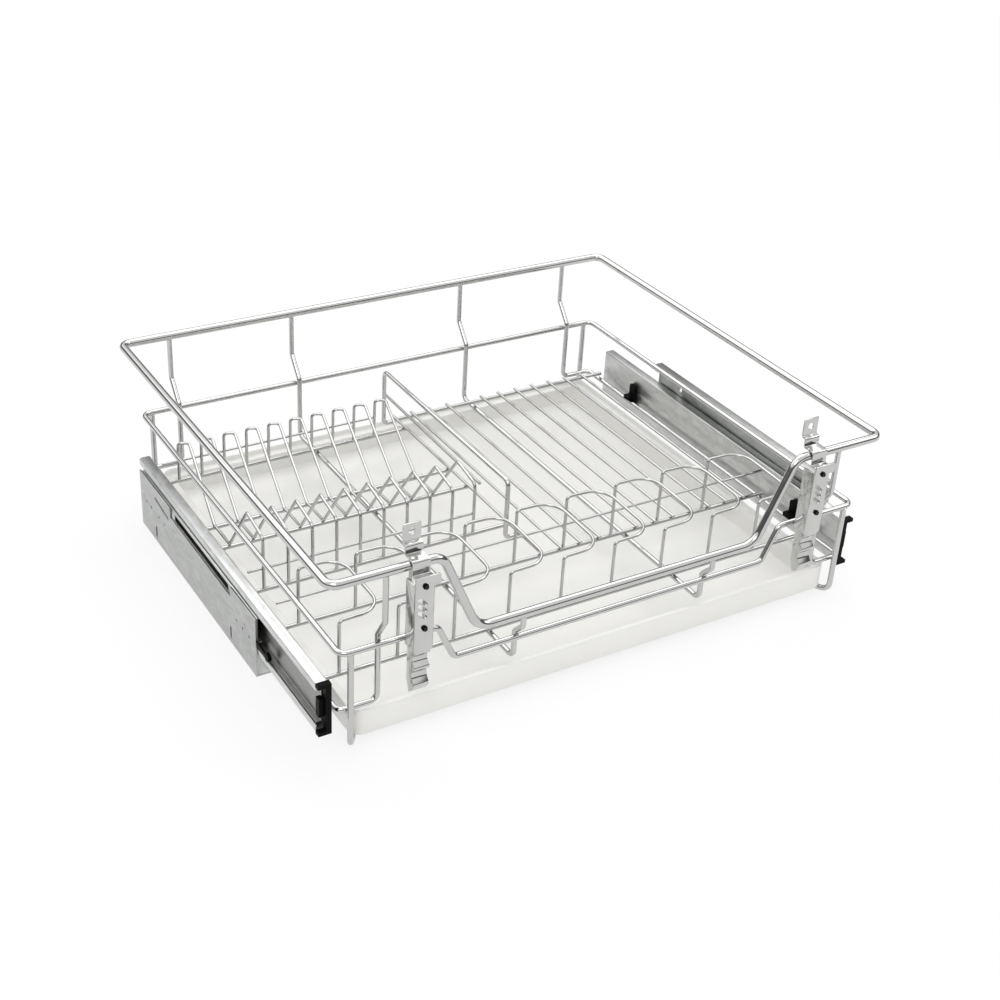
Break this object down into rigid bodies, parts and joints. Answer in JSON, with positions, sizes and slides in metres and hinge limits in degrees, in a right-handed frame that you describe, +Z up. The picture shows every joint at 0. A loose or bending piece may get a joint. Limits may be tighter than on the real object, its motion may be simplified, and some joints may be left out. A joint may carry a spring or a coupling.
{
  "type": "pull-out dish rack",
  "caption": "Wire dish rack that pulls out of a base cabinet on telescopic slides, with plate rack, bowl rack, divider and drip tray.",
  "frame": {"origin": "middle of the bounding box on the floor plane, with the rack closed", "axes": "+X across the cabinet, -Y out of the cabinet towards the user, +Z up"},
  "size_m": [0.564, 0.4792, 0.2],
  "materials": {
    "bright_wire": "bright plated",
    "zinc_sheet": "zinc plated, satin",
    "black_plastic": "moulded",
    "tray_plastic": "moulded, satin",
    "plain_steel": "plain"
  },
  "bodies": {
    "cabinet_side": {"cabinet_rail_left": "zinc_sheet", "cabinet_plate_left": "zinc_sheet", "latch_left": "black_plastic", "cabinet_rivet_front_left": "plain_steel", "cabinet_rivet_back_left": "plain_steel", "cabinet_rail_right": "zinc_sheet", "cabinet_plate_right": "zinc_sheet", "latch_right": "black_plastic", "cabinet_rivet_front_right": "plain_steel", "cabinet_rivet_back_right": "plain_steel"},
    "basket": {"top_rim": "bright_wire", "mid_rim": "bright_wire", "outer_frame_wire_left": "bright_wire", "inner_frame_wire_left": "bright_wire", "outer_frame_wire_right": "bright_wire", "inner_frame_wire_right": "bright_wire", "tray_carrier_left": "bright_wire", "tray_carrier_right": "bright_wire", "base_grid": "bright_wire", "plate_rack": "bright_wire", "plate_rack_side_wire": "bright_wire", "bowl_rack": "bright_wire", "divider": "bright_wire", "panel_bracket_left": "bright_wire", "rim_strap_left": "bright_wire", "bracket_toe_left": "bright_wire", "bracket_screw_upper_left": "plain_steel", "bracket_screw_lower_left": "plain_steel", "panel_bracket_right": "bright_wire", "rim_strap_right": "bright_wire", "bracket_toe_right": "bright_wire", "bracket_screw_upper_right": "plain_steel", "bracket_screw_lower_right": "plain_steel", "basket_channel_left": "zinc_sheet", "end_cap_left": "black_plastic", "side_clip_front_left": "black_plastic", "side_clip_back_left": "black_plastic", "basket_channel_right": "zinc_sheet", "end_cap_right": "black_plastic", "side_clip_front_right": "black_plastic", "side_clip_back_right": "black_plastic"},
    "middle_left": {"middle_channel_left": "zinc_sheet", "middle_stop_left": "black_plastic"},
    "middle_right": {"middle_channel_right": "zinc_sheet", "middle_stop_right": "black_plastic"},
    "outer_cage_left": {"outer_ball_cage_left": "plain_steel"},
    "outer_cage_right": {"outer_ball_cage_right": "plain_steel"},
    "inner_cage_left": {"inner_ball_cage_left": "plain_steel"},
    "inner_cage_right": {"inner_ball_cage_right": "plain_steel"},
    "tray": {"drip_tray": "tray_plastic"}
  },
  "joints": [
    {"name": "basket_slide", "type": "slide", "parent": "cabinet_side", "child": "basket", "axis": [0, -1, 0], "range_m": [0, 0.4]},
    {"name": "middle_slide_left", "type": "slide", "parent": "cabinet_side", "child": "middle_left", "axis": [0, -1, 0], "range_m": [0, 0.2]},
    {"name": "outer_cage_slide_left", "type": "slide", "parent": "cabinet_side", "child": "outer_cage_left", "axis": [0, -1, 0], "range_m": [0, 0.3]},
    {"name": "inner_cage_slide_left", "type": "slide", "parent": "cabinet_side", "child": "inner_cage_left", "axis": [0, -1, 0], "range_m": [0, 0.1]},
    {"name": "middle_slide_right", "type": "slide", "parent": "cabinet_side", "child": "middle_right", "axis": [0, -1, 0], "range_m": [0, 0.2]},
    {"name": "outer_cage_slide_right", "type": "slide", "parent": "cabinet_side", "child": "outer_cage_right", "axis": [0, -1, 0], "range_m": [0, 0.3]},
    {"name": "inner_cage_slide_right", "type": "slide", "parent": "cabinet_side", "child": "inner_cage_right", "axis": [0, -1, 0], "range_m": [0, 0.1]},
    {"name": "tray_slide", "type": "slide", "parent": "basket", "child": "tray", "axis": [0, -1, 0], "range_m": [0, 0.36]}
  ],
  "couplings": [
    {"joint": "middle_slide_left", "follows": "basket_slide", "ratio": 0.5},
    {"joint": "outer_cage_slide_left", "follows": "basket_slide", "ratio": 0.75},
    {"joint": "inner_cage_slide_left", "follows": "basket_slide", "ratio": 0.25},
    {"joint": "middle_slide_right", "follows": "basket_slide", "ratio": 0.5},
    {"joint": "outer_cage_slide_right", "follows": "basket_slide", "ratio": 0.75},
    {"joint": "inner_cage_slide_right", "follows": "basket_slide", "ratio": 0.25}
  ]
}
